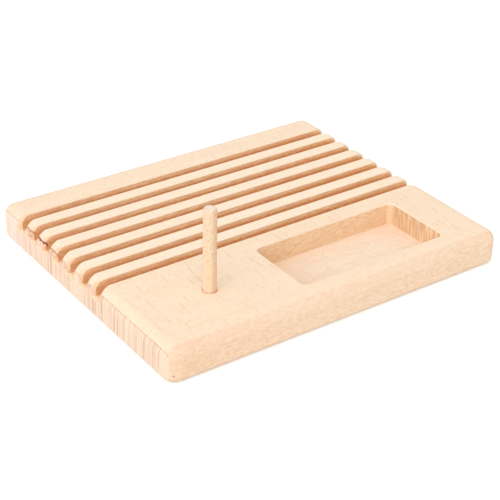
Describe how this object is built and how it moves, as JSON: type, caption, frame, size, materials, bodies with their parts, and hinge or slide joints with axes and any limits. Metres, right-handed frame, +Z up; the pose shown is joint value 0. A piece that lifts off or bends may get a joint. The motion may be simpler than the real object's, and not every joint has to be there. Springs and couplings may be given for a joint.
{
  "type": "ruler and spool holder",
  "caption": "Flat wooden desk block with a row of through slots that stand rulers on edge, an oblong tray for small things and an upright pin for a spool.",
  "frame": {"origin": "centre of the underside", "axes": "+X along the slots, with the tray at the +X end and the pin at the -X end; +Y from the tray side, the front, to the slots, the back; +Z up"},
  "size_m": [0.18, 0.15, 0.0565],
  "materials": {
    "beech_board": "sanded, satin",
    "beech_pin": "turned, satin"
  },
  "bodies": {
    "board": {"board": "beech_board"},
    "spool_pin": {"spool_pin": "beech_pin"}
  },
  "joints": [
    {"name": "spool_pin_lift", "type": "slide", "parent": "board", "child": "spool_pin", "axis": [0, 0, 1], "range_m": [0, 0.012]}
  ]
}
